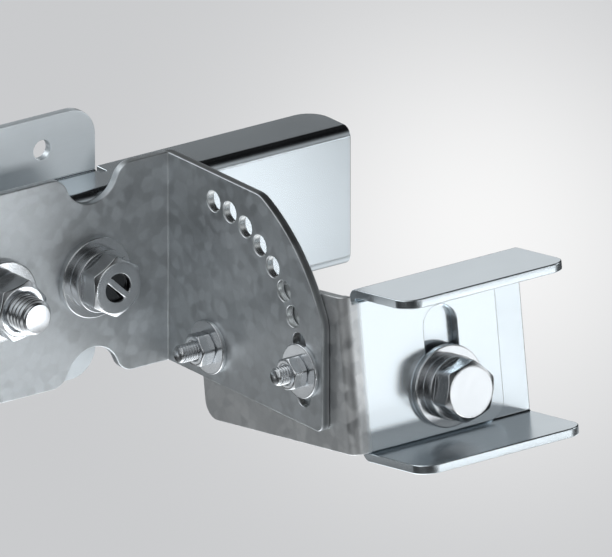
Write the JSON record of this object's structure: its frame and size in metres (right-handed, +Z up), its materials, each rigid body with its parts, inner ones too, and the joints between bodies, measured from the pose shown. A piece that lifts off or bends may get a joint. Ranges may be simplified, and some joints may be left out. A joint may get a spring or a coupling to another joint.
{
  "type": "solar panel bracket",
  "caption": "Adjustable wall bracket for a solar panel: hat-section wall channel, indexed quadrant plate, tilting arm with a curved slot, and an open clip for the panel frame.",
  "frame": {"origin": "on the wall plane, at the centre of the four wall screw holes", "axes": "+X along the wall channel towards its long end, -Y straight out of the wall, +Z up"},
  "size_m": [0.2012, 0.1463, 0.0994],
  "materials": {
    "bright_sheet": "smooth bright galvanised sheet",
    "mottled_sheet": "matt mottled galvanised sheet",
    "zinc_hardware": "bright zinc plated fasteners"
  },
  "bodies": {
    "wall_side": {"wall_bracket": "bright_sheet", "quadrant_bracket": "mottled_sheet", "fold_clamp_bolt": "zinc_hardware", "fold_clamp_spring_washer": "zinc_hardware", "fold_clamp_front_washer": "zinc_hardware", "fold_clamp_back_washer": "zinc_hardware", "fold_clamp_nut": "zinc_hardware", "end_clamp_bolt": "zinc_hardware", "end_clamp_front_washer": "zinc_hardware", "end_clamp_back_washer": "zinc_hardware", "end_clamp_nut": "zinc_hardware", "pivot_bolt": "zinc_hardware", "pivot_front_washer": "zinc_hardware", "pivot_back_washer": "zinc_hardware", "pivot_nut": "zinc_hardware", "lock_bolt": "zinc_hardware", "lock_front_washer": "zinc_hardware", "lock_back_washer": "zinc_hardware", "lock_nut": "zinc_hardware"},
    "tilt_side": {"tilt_bracket": "bright_sheet", "frame_clip": "bright_sheet", "clip_bolt": "zinc_hardware", "clip_spring_washer": "zinc_hardware", "clip_front_washer": "zinc_hardware", "clip_back_washer": "zinc_hardware", "clip_nut": "zinc_hardware"}
  },
  "joints": [
    {"name": "tilt", "type": "hinge", "parent": "wall_side", "child": "tilt_side", "pos_m": [0.0749, -0.0456, -0.027], "axis": [-1, 0, 0], "range_deg": [-13.5, 13.5]}
  ]
}
